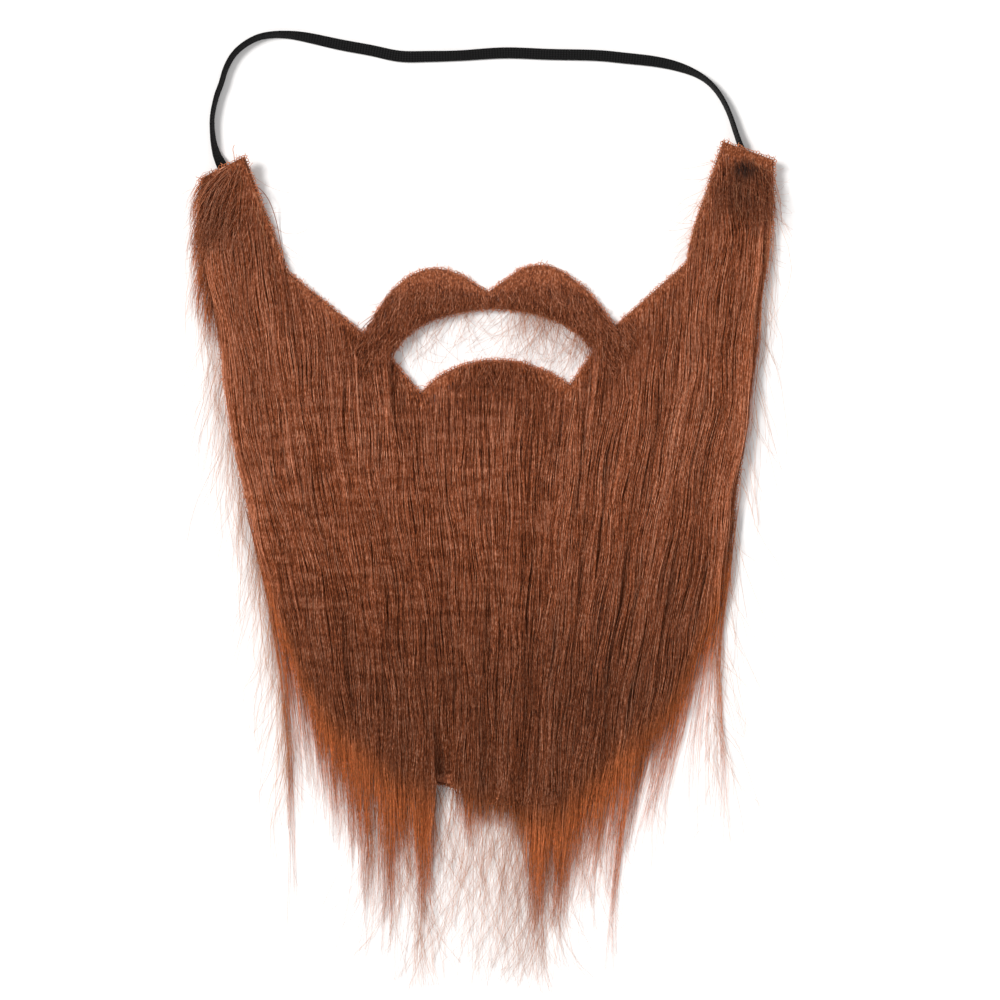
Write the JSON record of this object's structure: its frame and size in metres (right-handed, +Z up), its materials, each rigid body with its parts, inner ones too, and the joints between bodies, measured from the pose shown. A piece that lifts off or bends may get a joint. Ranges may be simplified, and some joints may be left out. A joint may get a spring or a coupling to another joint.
{
  "type": "fake beard",
  "caption": "Brown fur-fabric costume beard with moustache, mouth opening, long ragged locks and a flat elastic head strap, lying flat.",
  "frame": {"origin": "middle of the underside of the cloth and hair (strap not counted), on the surface that it lies on", "axes": "+Z up out of the hair, +Y towards the sideburn tabs, +X towards the right of the picture"},
  "size_m": [0.2314, 0.3693, 0.011],
  "materials": {
    "backing_knit": "knitted ground cloth",
    "hair_pile": "long combed synthetic hair",
    "black_elastic": "matt braided elastic"
  },
  "bodies": {
    "root": {"fur_backing": "backing_knit", "fur_pile": "hair_pile", "elastic_strap": "black_elastic"}
  },
  "joints": []
}
